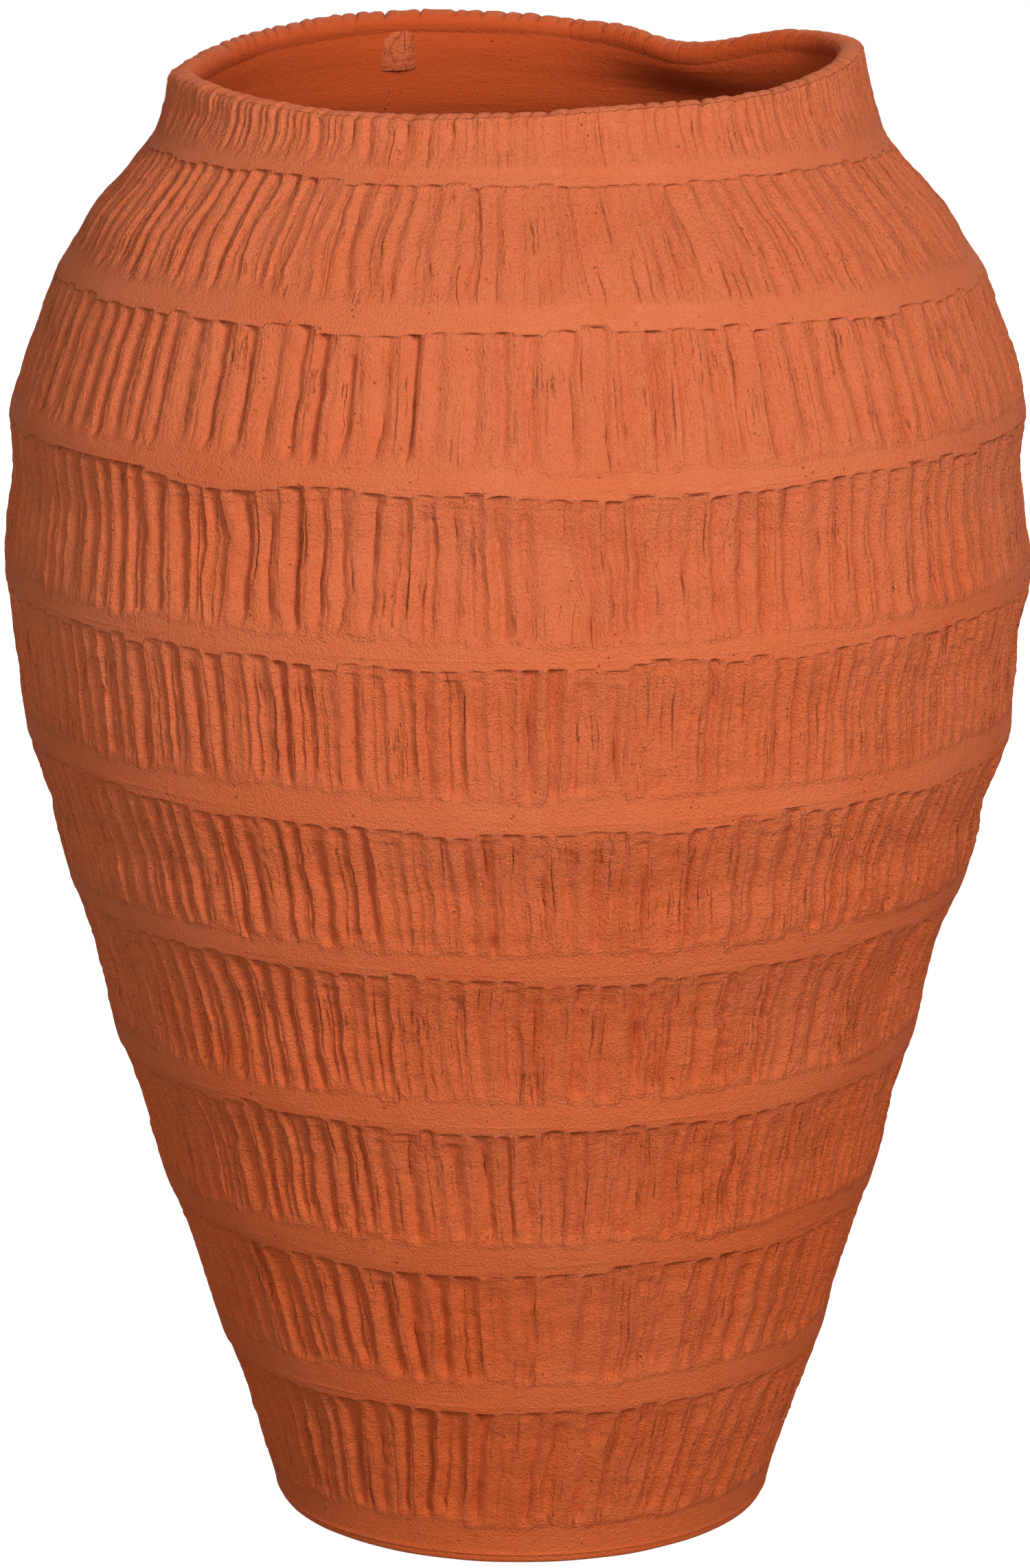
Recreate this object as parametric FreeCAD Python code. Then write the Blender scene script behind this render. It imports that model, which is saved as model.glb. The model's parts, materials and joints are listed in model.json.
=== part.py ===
import FreeCAD, Part
import math
import os

# A large terracotta storage jar, raised by hand from the floor up: a base slab, ten courses of
# clay set one on another with bevelled laps, a rolled lip that wanders in plan and in height, a
# pad of clay over the lip's join and a coil pressed into the corner of the floor.
# Lengths are millimetres. The origin is the middle of the underside, with +Z up.
# Azimuths are degrees about +Z from +X. -Y is the front.

# Overall sizes: the lip's top where it runs level, and the outline's widest radius
jar_height = 530.0
belly_radius = 185.0

# Wall and floor
wall = 10.0
slab_thickness = 10.0
slab_edge = 4.0
slab_chamfer = 1.5

# Laps: each course's foot hangs a little over the course below, and its bevel rises inwards
lap_rise = 4.0
lap_overhang = 1.0

# Face of a course: the wiped band at its foot stands proud, and the gouged field above is hollow
band_proud = 0.6
field_hollow = 1.2

# Gouged strokes: how deep the tool went between two ridges
stroke_depth = 1.8

# Coil in the corner of the floor, and where its hollow face passes, as shares of it
corner_coil = 9.0
coil_hollow_shares = (0.25, 0.30)

# Rolled lip
lip_height = 9.0
lip_overhang = 2.0
lip_round = 2.5

# Pad of clay over the join of the lip coil
pad_width = 21.0
pad_height = 19.0
pad_thickness = 3.0
pad_azimuth = 113.0

# How far the rim strays from a level circle
rim_wave = 9.5
rim_stray = 12.0

# The wall's outline up its laps, as shares of jar_height and of belly_radius: foot, nine laps,
# then the neck and the lip's outer line
outline_shares = (
    (0.0000, 0.483),
    (0.1198, 0.597),
    (0.2298, 0.696),
    (0.3358, 0.786),
    (0.4457, 0.873),
    (0.5519, 0.961),
    (0.6589, 1.000),
    (0.7608, 0.977),
    (0.8651, 0.893),
    (0.9513, 0.712),
    (0.9679, 0.686),
    (0.9830, 0.668),
    (1.0000, 0.662),
)
neck_lap = 9

# The face of the foot and of the shoulder, as shares of the course's height and of the two sizes
# named above
face_shares = ((0.18, 1.0, 0.0), (0.50, 0.0, 0.5), (0.80, 0.0, 1.0))

# The face of a wall course between two laps: shares of its height, band_proud, field_hollow and
# stroke_depth
gouged_shares = (
    (0.08, 1.0, 0.0, 0.0),
    (0.18, 1.0, 0.0, 0.0),
    (0.24, 0.3, 0.1, 0.3),
    (0.34, 0.0, 0.2, 1.0),
    (0.55, 0.0, 0.3, 1.0),
    (0.78, 0.0, 0.4, 1.0),
    (0.94, 0.0, 0.3, 0.9),
    (0.96, 0.0, 0.2, 0.0),
)

# Strokes round wall courses 2 to 8, and how deep each of a stroke's poles lies, from its ridge
# across its floor, as shares of stroke_depth
stroke_counts = (75, 104, 112, 126, 132, 124, 104)
section_shares = (0.0, 2.1, 1.9)

# Strokes on each face of a course
strokes_a_face = 8

# Where the rim rises and falls: azimuth, reach in degrees, share of rim_wave
rise_shares = ((12.0, 75.0, 0.90), (112.0, 75.0, 1.00), (52.0, 22.0, -0.47), (245.0, 60.0, -0.42))

# Where the rim leaves its circle: azimuth, reach in degrees, share of rim_stray
plan_shares = ((52.0, 34.0, -1.00), (12.0, 24.0, 0.20), (184.0, 18.0, 0.20))

# The lip's section from its outer edge over the top to its inner edge: share of the way through
# the wall, shares of lip_round taken off and of lip_overhang put on inwards, share of lip_height
lip_shares = (
    (0.0, 0.0, 0.0, 0.00),
    (0.0, 0.2, 0.0, 0.60),
    (0.0, 1.0, 0.0, 0.92),
    (0.5, 0.0, 0.0, 1.00),
    (1.0, -1.0, 1.0, 0.92),
    (1.0, 0.0, 1.0, 0.50),
    (1.0, 0.0, 0.0, 0.00),
)

# Heights of the neck's rings, as shares of its height
neck_shares = (0.0, 0.3, 0.6, 1.0)

# Points round a ring of the rim
ring_points = 72


def outline_nodes():
    """Heights and radii of the outline."""
    return [(height * jar_height, radius * belly_radius) for height, radius in outline_shares]


def node_slope(nodes, k):
    """Change of radius with height at node k, from its neighbours."""
    low = max(k - 1, 0)
    high = min(k + 1, len(nodes) - 1)
    return (nodes[high][1] - nodes[low][1]) / (nodes[high][0] - nodes[low][0])


def node_below(nodes, height):
    """Number of the last node that a height has passed, short of the top one."""
    return max([0] + [k for k in range(len(nodes) - 1) if nodes[k][0] <= height])


def outline(height):
    """Radius and slope of the wall's outline at a height: a cubic between each two nodes."""
    nodes = outline_nodes()
    k = node_below(nodes, height)
    z0, r0 = nodes[k]
    z1, r1 = nodes[k + 1]
    span = z1 - z0
    m0 = node_slope(nodes, k) * span
    m1 = node_slope(nodes, k + 1) * span
    t = (height - z0) / span
    bend = 2 * (r0 - r1) + m0 + m1
    lean = 3 * (r1 - r0) - 2 * m0 - m1
    radius = r0 + t * (m0 + t * (lean + t * bend))
    return radius, (m0 + t * (2 * lean + 3 * t * bend)) / span


def outer_radius(height):
    """Radius of the outline."""
    return outline(height)[0]


def inner_radius(height):
    """Radius of the inside: the wall's thickness is measured square to its face."""
    radius, slope = outline(height)
    return radius - wall * math.hypot(1, slope)


def lap_height(k):
    """Height of lap k at the outer face. Lap 0 is on the edge of the base slab."""
    return slab_edge if k == 0 else outline_nodes()[k][0]


def lap_inner_height(k):
    """Height of lap k at the inner face."""
    return slab_thickness if k == 0 else lap_height(k) + lap_rise


def lap_outer_corner(k):
    """Where the foot of the upper course ends: radius and height."""
    return outer_radius(lap_height(k)) + lap_overhang / 2, lap_height(k)


def lap_inner_corner(k):
    """Where both courses end inside: radius and height."""
    return inner_radius(lap_inner_height(k)), lap_inner_height(k)


def lap_top_corner(k):
    """Where the lower course ends outside, up the same bevel by the overhang."""
    r0, z0 = lap_outer_corner(k)
    r1, z1 = lap_inner_corner(k)
    t = lap_overhang / (r0 - r1)
    return r0 + t * (r1 - r0), z0 + t * (z1 - z0)


def vector(point):
    """A radius and a height as a point of the section plane."""
    return FreeCAD.Vector(point[0], 0, point[1])


def line(a, b):
    """Straight edge between two points of the section plane."""
    return Part.LineSegment(vector(a), vector(b)).toShape()


def curve(points):
    """Smooth edge through points of the section plane."""
    spline = Part.BSplineCurve()
    spline.interpolate([vector(point) for point in points])
    return spline.toShape()


def turned(edges):
    """Solid of revolution about the jar's axis."""
    face = Part.Face(Part.Wire(edges))
    return face.revolve(FreeCAD.Vector(0, 0, 0), FreeCAD.Vector(0, 0, 1), 360)


def corner_top():
    """Where the floor's corner coil ends on the inner face."""
    height = slab_thickness + corner_coil
    return inner_radius(height), height


def course_face(k):
    """Points of the foot's or the shoulder's outer face, from its foot to its top."""
    r0, z0 = lap_outer_corner(k)
    r1, z1 = lap_top_corner(k + 1)
    points = [(r0, z0)]
    for rise, proud, hollow in face_shares:
        height = z0 + rise * (z1 - z0)
        points.append((outer_radius(height) + proud * band_proud - hollow * field_hollow, height))
    return points + [(r1, z1)]


def course_inside(low, high):
    """Points of a course's inner face, between two points on it."""
    span = high[1] - low[1]
    heights = [low[1] + share * span for share in (0.25, 0.5, 0.75)]
    return [low] + [(inner_radius(height), height) for height in heights] + [high]


def turned_course(k):
    """The foot or the shoulder: a round course from lap k to lap k + 1."""
    outside = course_face(k)
    inside_foot = lap_inner_corner(k)
    inside_top = lap_inner_corner(k + 1)
    edges = [curve(outside), line(outside[-1], inside_top)]
    if k == 0:
        edges += [curve(course_inside(corner_top(), inside_top)), line(corner_top(), inside_foot)]
    else:
        edges += [curve(course_inside(inside_foot, inside_top))]
    return turned(edges + [line(inside_foot, outside[0])])


def stroke_ring(k, radius, height, depth=0):
    """Ring of course k: each stroke of the tool dips by a depth between two ridges."""
    points = len(section_shares) * stroke_counts[k - 1]

    def place(azimuth):
        pole = round(azimuth * points / 360) % len(section_shares)
        return radius - depth * section_shares[pole], height
    return ring(place, points)


def gouged_face(k):
    """Rings of a wall course's outer face, from its foot to its top."""
    foot = lap_outer_corner(k)
    top = lap_top_corner(k + 1)
    rings = [stroke_ring(k, *foot)]
    for rise, proud, hollow, gouge in gouged_shares:
        height = foot[1] + rise * (top[1] - foot[1])
        radius = outer_radius(height) + proud * band_proud - hollow * field_hollow
        rings.append(stroke_ring(k, radius, height, gouge * stroke_depth))
    return rings + [stroke_ring(k, *top)]


def wall_course(k):
    """A course from lap k to lap k + 1, gouged from its head down to its wiped foot."""
    outside = gouged_face(k)
    corners = course_inside(lap_inner_corner(k), lap_inner_corner(k + 1))
    inside = [stroke_ring(k, *point) for point in corners]
    firsts = range(0, stroke_counts[k - 1] - strokes_a_face // 2, strokes_a_face)
    cuts = tuple(len(section_shares) * first for first in firsts)
    stacks = [outside, [outside[-1], inside[-1]], inside, [inside[0], outside[0]]]
    return closed_body(stacks, cuts)


def base_slab():
    """The floor: a flat disc whose rim is bevelled to take the first course."""
    top = lap_inner_corner(0)
    edge = lap_top_corner(0)
    foot = outer_radius(0)
    points = [(0, 0), (foot - slab_chamfer, 0), (foot, slab_chamfer), edge, top, (0, slab_thickness)]
    return turned([line(a, b) for a, b in zip(points, points[1:] + points[:1])])


def base_corner_coil():
    """A thin coil pressed into the corner of the floor and the first course, hollow in section."""
    corner = lap_inner_corner(0)
    top = corner_top()
    toe = (corner[0] - corner_coil, corner[1])
    back, up = coil_hollow_shares
    middle = (corner[0] - back * corner_coil, corner[1] + up * corner_coil)
    hollow = Part.Arc(vector(toe), vector(middle), vector(top)).toShape()
    return turned([line(corner, top), hollow, line(toe, corner)])


def bump(azimuth, centre, reach):
    """1 at the centre, falling smoothly to 0 where the reach ends."""
    away = abs((azimuth - centre + 180) % 360 - 180)
    return (1 + math.cos(math.pi * away / reach)) / 2 if away < reach else 0


def rim_rise(azimuth):
    """How far the rim stands above its level height."""
    return rim_wave * sum(up * bump(azimuth, centre, reach) for centre, reach, up in rise_shares)


def rim_out(azimuth):
    """How far the rim stands outside its circle."""
    return rim_stray * sum(out * bump(azimuth, centre, reach) for centre, reach, out in plan_shares)


def seat_height():
    """Height of the neck's top where the rim runs level, under the lip."""
    return jar_height - lip_height


def ring(place, points=ring_points):
    """Poles of a closed cubic round the jar: place gives a radius and a height at each azimuth."""
    count = round(points)
    step = 2 * math.pi / count
    fullness = 3 / (2 + math.cos(step))
    poles = []
    for k in range(count):
        radius, height = place(math.degrees(k * step))
        reach = radius * fullness
        poles.append(FreeCAD.Vector(reach * math.cos(k * step), reach * math.sin(k * step), height))
    return poles


def skin(rings, cuts):
    """Smooth faces through a stack of rings, from the first to the last, cut at some of its poles."""
    degree = min(3, len(rings) - 1)
    spans = len(rings) - degree
    poles = [list(column) for column in zip(*rings)]
    across = [degree + 1] + [1] * (spans - 1) + [degree + 1]
    points = len(rings[0])
    faces = []
    for start, end in zip(cuts, cuts[1:] + (points,)):
        surface = Part.BSplineSurface()
        surface.buildFromPolesMultsKnots(
            poles, [1] * (points + 1), across, list(range(points + 1)),
            list(range(spans + 1)), True, False, 3, degree)
        if len(cuts) > 1:
            surface.segment(start, end, 0, spans)
        faces.append(surface.toShape())
    return faces


def closed_body(stacks, cuts=(0,)):
    """Solid inside several faces, each through one stack of rings."""
    faces = Part.Compound([face for rings in stacks for face in skin(rings, cuts)])
    faces.sewShape()
    solid = Part.makeSolid(faces.Shells[0])
    if solid.Volume < 0:
        solid.reverse()
    return solid


def neck_ring(low_radius, radius_at, low_height, share):
    """Ring of the neck, a share of the way from its foot to its top, which follows the rim."""
    def place(azimuth):
        level = low_height + share * (seat_height() - low_height)
        radius = low_radius if share == 0 else radius_at(level)
        ease = share * share * (3 - 2 * share)
        return radius + ease * rim_out(azimuth), level + share * rim_rise(azimuth)
    return ring(place)


def neck_skin(radius_at, corner):
    """Rings of one face of the neck, from its foot up."""
    return [neck_ring(corner[0], radius_at, corner[1], share) for share in neck_shares]


def neck_course():
    """The last course: a short neck whose top strays with the rim."""
    outside = neck_skin(outer_radius, lap_outer_corner(neck_lap))
    inside = neck_skin(inner_radius, lap_inner_corner(neck_lap))
    return closed_body([outside, [outside[-1], inside[-1]], inside, [outside[0], inside[0]]])


def lip_ring(share_in, share_round, share_over, share_up):
    """Ring of the lip, at one row of its section."""
    outside = outer_radius(seat_height())
    inside = inner_radius(seat_height())
    level = outside + share_in * (inside - outside)
    level -= share_round * lip_round + share_over * lip_overhang

    def place(azimuth):
        height = seat_height() + share_up * lip_height + rim_rise(azimuth)
        return level + rim_out(azimuth), height
    return ring(place)


def lip_coil():
    """The rolled lip: flush outside, rounded on top, and hanging over the neck inside."""
    section = [lip_ring(*row) for row in lip_shares]
    return closed_body([section, [section[0], section[-1]]])


def lip_join_pad(neck, lip):
    """A pad of clay thumbed over the join of the lip, cut to the neck and the lip behind it."""
    ball = Part.makeSphere(1)
    stretch = FreeCAD.Matrix()
    depth = wall / 2 + pad_thickness
    stretch.scale(FreeCAD.Vector(depth, pad_width / 2, pad_height / 2))
    pad = ball.transformGeometry(stretch)
    radius = inner_radius(seat_height()) + rim_out(pad_azimuth) + depth - pad_thickness
    height = seat_height() + rim_rise(pad_azimuth) + (lip_height - pad_height) / 2
    pad.translate(FreeCAD.Vector(radius, 0, height))
    pad.rotate(FreeCAD.Vector(0, 0, 0), FreeCAD.Vector(0, 0, 1), pad_azimuth)
    rest = pad.cut(neck).cut(lip)
    return min(rest.Solids, key=lambda solid: math.hypot(solid.CenterOfMass.x, solid.CenterOfMass.y))


def main():
    """Makes every piece and writes one STEP file for each."""
    neck = neck_course()
    lip = lip_coil()
    parts = {"base_slab": base_slab(), "base_corner_coil": base_corner_coil()}
    parts["foot_course"] = turned_course(0)
    for k in range(1, neck_lap - 1):
        parts["wall_course_%d" % (k + 1)] = wall_course(k)
    parts["shoulder_course"] = turned_course(neck_lap - 1)
    parts["neck_course"] = neck
    parts["lip_coil"] = lip
    parts["lip_join_pad"] = lip_join_pad(neck, lip)
    os.makedirs("parts", exist_ok=True)
    for name, shape in parts.items():
        shape.exportStep("parts/%s.step" % name)


main()
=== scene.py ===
import json
import math
from functools import partial
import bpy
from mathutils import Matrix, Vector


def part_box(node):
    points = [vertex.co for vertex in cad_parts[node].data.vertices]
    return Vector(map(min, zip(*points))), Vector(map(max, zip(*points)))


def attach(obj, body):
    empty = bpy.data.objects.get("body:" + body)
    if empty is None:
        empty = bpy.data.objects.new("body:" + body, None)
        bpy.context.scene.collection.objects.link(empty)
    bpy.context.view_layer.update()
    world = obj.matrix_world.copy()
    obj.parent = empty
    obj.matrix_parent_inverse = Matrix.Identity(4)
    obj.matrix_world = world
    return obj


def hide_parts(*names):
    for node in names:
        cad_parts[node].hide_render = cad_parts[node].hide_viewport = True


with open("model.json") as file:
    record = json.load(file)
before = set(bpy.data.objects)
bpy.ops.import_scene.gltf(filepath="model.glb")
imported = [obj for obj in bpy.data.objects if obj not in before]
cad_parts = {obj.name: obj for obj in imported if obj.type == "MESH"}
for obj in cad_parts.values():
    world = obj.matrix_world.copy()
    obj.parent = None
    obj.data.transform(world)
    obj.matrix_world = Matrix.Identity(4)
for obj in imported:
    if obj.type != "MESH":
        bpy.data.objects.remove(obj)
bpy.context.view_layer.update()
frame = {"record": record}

from types import SimpleNamespace

import bmesh
import bpy
import numpy as np

bl_info = {
    "name": "Hand-raised pithos",
    "version": (1, 0, 0),
    "blender": (4, 5, 0),
    "location": "View3D > Sidebar > Pithos",
    "description": "Builds a terracotta storage jar from its base, combed courses and notched lip",
    "category": "Object",
}

RECORD = frame["record"]

# Lengths in this file are in millimetres until a mesh is filled. Azimuths are in degrees from +X.
MM = 0.001
JAR_HEIGHT = 530.0
BELLY_RADIUS = 185.0
OUTLINE_SHARES = (
    (0, 0.483), (0.1198, 0.597), (0.2298, 0.696), (0.3358, 0.786), (0.4457, 0.873),
    (0.5519, 0.961), (0.6589, 1.000), (0.7608, 0.977), (0.8651, 0.893), (0.9513, 0.712),
    (0.9679, 0.686), (0.9830, 0.668), (1, 0.662),
)
SLAB_EDGE, SLAB_TOP = 4.0, 10.0
LAP_RISE = 4.0
LIP_HEIGHT = 9.0
CORNER_COIL, THUMB_PRESSES = 9.0, 14

# The pad on the lip's join: where it lies, its half sizes, how far it stands out, and its edge
PAD_AZIMUTH = 113.0
PAD_RADIUS = 113.0
PAD_HALF_WIDTH, PAD_HALF_HEIGHT = 7.4, 7.3
PAD_RISE, PAD_EDGE = 2.3, 0.25

# Where the rim rises and falls, and where it leaves its circle: azimuth, reach, millimetres
RIM_RISES = ((12, 75, 8.55), (112, 75, 9.5), (52, 22, -4.465), (245, 60, -3.99))
RIM_STRAYS = ((52, 34, -12), (12, 24, 2.4), (184, 18, 2.4))

# How far above its lap each seam runs, clear of the tool's first bites
SEAM_RAISES = (0, 2.5, 2.5, 2.5, 2.5, 2.5, 2.5, 5.5, 2.5, 1.5)

# Where a seam rises or dips along the jar: seam number, azimuth, reach, millimetres
SEAM_BENDS = (
    (2, 255, 26, -2), (2, 290, 24, 1.6), (1, 300, 40, 0.6), (3, 262, 30, -0.8),
    (4, 280, 45, -1.6), (5, 262, 60, -0.6), (7, 238, 13, -2.6), (7, 286, 20, -2.2),
    (7, 252, 10, 1), (8, 275, 30, 0.8),
)

# How the hand-raised wall swells and leans: level, millimetres outwards, millimetres to the right
SWELLS = (
    (0, 1.3, 0.9), (14, 0.6, 1), (32, 0.4, 1.5), (50, 0.4, 2.1), (66, 1.1, 1.4),
    (85, 0.5, 0.8), (102, 0.5, 1), (130, 1.5, 0.3), (158, 0, -0.2), (180, 1.2, -1),
    (200, 0, -1.2), (213, -0.5, -1.2), (240, 1.6, -0.2), (252, 1.4, 0),
    (268, -0.75, -0.3), (290, 1.05, 0.3), (308, -0.4, -0.6), (328, -1.2, -1.1),
    (347, 0.35, -0.2), (354, 0.30, -0.25), (370, -0.75, -1), (385, -1.35, -0.8),
    (411, 2.9, -0.5), (422, 2.4, 0.4), (443, 0.8, 0.3), (456, 0.9, 0.5), (467, 0.1, 0.3),
    (483, 2.3, 0), (494, 1.2, 0), (506, 0, 0), (530, 0, 0),
)

# How far the clay stands out at a seam, at the floor's seam, and at most between them
SEAM_PROUD, FLOOR_SEAM_PROUD, MOST_PROUD = 0.25, 0.45, 0.42

# Where the columns of one stroke stand across it, closest at its two walls and round its crease
FRACTIONS = np.array((0, .04, .09, .18, .30, .385, .42, .455, .58, .74, .87, .95))
CREASE_COLUMN = 6
WALL_FOOT_COLUMN = 11

# The courses from the foot up. The strokes end at the stop and lean over their length, the lap is the
# ledge's height over the seam, and the channel is how far the strokes are narrow between flat ridges.
COURSE_VALUES = (
    "node", "count", "stop", "depth", "lean", "wander", "torn", "twice", "cracked", "ledge", "lap",
    "channel")
COURSES = (
    ("foot_course", 68, 14.8, 2.7, -5, 1.4, 0.6, 0.25, 0.95, 0.3, 0, 0.2),
    ("wall_course_2", 75, 75, 2.6, 1.5, 1.2, 0.4, 0.20, 0.7, 0.4, 0.4, 0.3),
    ("wall_course_3", 104, 131.8, 2.4, 0.5, 1.1, 0.6, 0.40, 0.8, 0.3, 0, 0.2),
    ("wall_course_4", 112, 187.8, 2.4, 0.5, 1.2, 0.6, 0.60, 0.9, 0.3, 0, 0.2),
    ("wall_course_5", 126, 244.8, 2.4, 0.8, 1.1, 0.7, 0.40, 0.95, 0.2, 0, 0.25),
    ("wall_course_6", 132, 302, 2.3, 0.5, 1, 0.5, 0.30, 0.8, 0.2, 0, 0.25),
    ("wall_course_7", 124, 356, 2.4, 0.5, 1.5, 0.5, 0.15, 0.8, 0.3, 0.4, 0.3),
    ("wall_course_8", 104, 414, 2.8, 1.2, 0.7, 0.35, 0.15, 0.8, 0, 0, 0.85),
    ("shoulder_course", 111, 465.8, 2.1, 2.5, 1.8, 0.7, 0.30, 0.95, 0, 0, 0.35),
    ("neck_course", 112, 508.5, 1.3, 0.8, 1, 0.4, 0.00, 0.7, 0, 0, 0.2),
)
SHOULDER, NECK = 8, 9

# How far below the seam the strokes' hooked heads lie, from and to, by course
PLAIN_HOOKS = (-1.2, 2.8)
HOOKS = {6: (-5.2, -2.0), SHOULDER: (-0.5, 2.0), NECK: (0.0, 0.0)}

# How far down a stroke reach its first step, the tool's digging in, its squared head, its collar, a
# slip of the tool and its narrowing, and how far below a seam the ledge over it
STEP, BITE_REACH, HEAD_REACH, COLLAR_REACH, SLIP_REACH = 0.5, 12.0, 11.0, 8.0, 6.0
CHANNEL_REACH = 42.0
LEDGE_REACH = 7.0

# How far down the neck's strokes are at the lip's edge, and how short their cracks are
NECK_START = 30.0
NECK_CRACKS = 0.6

# Rows above a course's stroke ends and below its heads, and limits of a piece's rows and points
END_ROWS = (0.1, 0.9, 1.8, 2.8, 4.0, 5.4, 7.0)
HEAD_ROWS = (8, 6.6, 5.4, 4.7, 4.2, 3.8, 3.4, 2.7, 2.0, 1.4, 0.9, 0.5, 0.22, 0, -0.12, -0.45)
MIDDLE_ROWS, OTHER_ROWS, MOST_POINTS = 26, 36, 98000

# The lip's section: millimetres in from its outer face, height over the seat, and where it faces
LIP_SECTION = (
    (0, 0, 0), (0, 0.8, 0), (0, 1.6, 0), (0, 2.4, 0), (0, 3.2, 0), (0, 4, 0),
    (0, 4.8, 0), (0.1, 5.5, 5), (0.2, 6.2, 10), (0.4, 6.8, 20), (0.7, 7.4, 30), (1.1, 7.9, 42),
    (1.7, 8.4, 55), (2.5, 8.8, 68), (3.4, 9, 80), (4.4, 9.1, 88), (5.5, 9.1, 93), (6.6, 8.9, 102),
    (7.7, 8.5, 112), (8.8, 7.9, 125), (9.6, 7.1, 138), (10.1, 6.2, 150), (10.5, 5.2, 162),
    (10.7, 4.2, 172), (10.75, 3.2, 180), (10.65, 2.3, 185), (10.45, 1.4, 188), (10.2, 0.7, 186),
    (10, 0, 180),
)

# The floor: points round it, round its coil and over the coil's section, metres of UV round both,
# shares of its radius below and above, and its edge's insets and heights
SLAB_COLUMNS, COIL_COLUMNS, COIL_STEPS = 720, 540, 12
FLOOR_TURN = 0.55
UNDER_SHARES = (0.004, 0.12, 0.24, 0.36, 0.48, 0.60, 0.70, 0.80, 0.88, 0.94, 0.97)
UPPER_SHARES = (0.94, 0.86, 0.76, 0.64, 0.52, 0.40, 0.28, 0.16, 0.08, 0.004)
WORN_EDGE = ((1.6, 0.02), (0.9, 0.25), (0.35, 0.8), (0.05, 1.6), (-0.05, 2.5), (-0.12, 3.3))

# Metres within which points are welded, and round the axis within which the floor is closed
WELD = 1e-7
POLE = 0.0006

# What a mesh carries for its finish: combed field, ridges, which are paler with dust and a painted
# highlight, cracks, which also carry painted shade, torn clay, and the wiped inside, which carries the
# inside's painted shade
MARKS = ("field", "ridge", "crack", "torn", "inner")

# How far each layer colours the clay. The ridges' dust is partly a painted highlight; the inside, the
# cracks, pits and splits, the strokes' heads and the lip's notches get painted shade
CLOUD_RUST, GRAIN_RUST, TORN_RUST = 0.25, 0.18, 0.45
RIDGE_DUST_AND_HIGHLIGHT = 0.25
INSIDE_SHADE, CRACK_SHADE, PIT_SHADE, SPLIT_SHADE = 0.17, 0.80, 0.10, 0.50

# Metres of relief of the strokes' texture and of the grain, and how far a smooth finish loses them
COARSE_RELIEF, COARSE_LOSS = 0.0007, 0.5
GRAIN_RELIEF, GRAIN_LOSS = 0.00110, 0.3

# The finish of each slot, and how smooth it is
FINISHES = {
    "terracotta_combed": ("combed_clay", 0.0),
    "terracotta_lip": ("rolled_clay", 0.3),
    "terracotta_floor": ("wiped_clay", 1.0),
}

# The studio in metres, watts and degrees. The main lamp's power is one of the jar's values.
WHITE = (1.0, 1.0, 1.0, 1.0)
FLOOR_HALF = 12.0
FLOOR_GREY = (0.16, 0.16, 0.16)
FLOOR_SEEN = (0.60, 0.60, 0.60)
FLOOR_GLOW = 0.88
SURROUND = 0.22
LAMP_AIM = (0.0, 0.0, 0.27)
LAMPS = (
    ("main_lamp", None, 0.72, (1.00, -2.15, 1.50)),
    ("back_lamp", 34.0, 2.0, (0.30, 2.60, 1.30)),
    ("front_lamp", 33.0, 1.8, (-0.90, -2.45, 0.85)),
)
CAMERA_PLACE = (-0.00128, -2.158, 0.762)
CAMERA_DIP, CAMERA_RANGE, SENSOR = 12.9, 60.0, 36.0
FOCAL_PIXELS, PHOTO_HEIGHT = 8832.0, 2283.0


# ---- Properties ----


class PithosValues(bpy.types.PropertyGroup):
    """Sizes and colours of the jar that a user may change"""

    wall: bpy.props.FloatProperty(
        name="Wall", description="Thickness of the fired wall", default=0.010, min=0.004, unit="LENGTH")
    stroke_depth: bpy.props.FloatProperty(
        name="Stroke depth", description="Depth of the strokes against the maker's usual one", default=1.0,
        min=0.0, max=2.0, subtype="FACTOR")
    wobble: bpy.props.FloatProperty(
        name="Wobble", description="How far the hand-raised wall strays inwards", default=0.00045,
        min=0.0, unit="LENGTH")
    swell: bpy.props.FloatProperty(
        name="Swell", description="Swelling of the wall against the maker's usual one", default=1.0,
        min=0.0, max=1.0, subtype="FACTOR")
    crack_depth: bpy.props.FloatProperty(
        name="Crack depth", description="Depth of the drying cracks beside the strokes", default=0.0009,
        min=0.0, unit="LENGTH")
    clay: bpy.props.FloatVectorProperty(
        name="Clay", description="Colour of the fired clay", subtype="COLOR", size=3,
        default=(0.640, 0.118, 0.031), min=0.0, max=1.0)
    # The pale colour: dust on the ridges with a painted highlight there, and painted light from above
    # towards the top of the jar
    dust_and_sheen: bpy.props.FloatVectorProperty(
        name="Dust", description="Colour of the pale bloom on ridges and wiped bands", subtype="COLOR",
        size=3, default=(0.630, 0.158, 0.064), min=0.0, max=1.0)
    # Rust: colour of torn clay, of the mottling and grain, and of the painted shade that darkens and reddens
    # the inside
    rust_and_inside_shade: bpy.props.FloatVectorProperty(
        name="Rust", description="Colour of freshly torn clay", subtype="COLOR", size=3,
        default=(0.540, 0.082, 0.019), min=0.0, max=1.0)
    shade: bpy.props.FloatVectorProperty(
        name="Shade", description="Colour inside cracks and pits", subtype="COLOR", size=3,
        default=(0.150, 0.018, 0.004), min=0.0, max=1.0)
    key_power: bpy.props.FloatProperty(
        name="Main lamp", description="Power of the main soft lamp in watts", default=66.0, min=0.0)


# ---- Shape of the jar ----


# The outline's nodes, the way from each one's lower to its upper neighbour, and its slope
NODES = np.array(OUTLINE_SHARES) * (JAR_HEIGHT, BELLY_RADIUS)
ACROSS = NODES[[*range(1, len(NODES)), -1]] - NODES[[0, *range(len(NODES) - 1)]]
SLOPES = ACROSS[:, 1] / ACROSS[:, 0]
SEAT = JAR_HEIGHT - LIP_HEIGHT
NECK_FOOT = NODES[NECK, 0]


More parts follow.
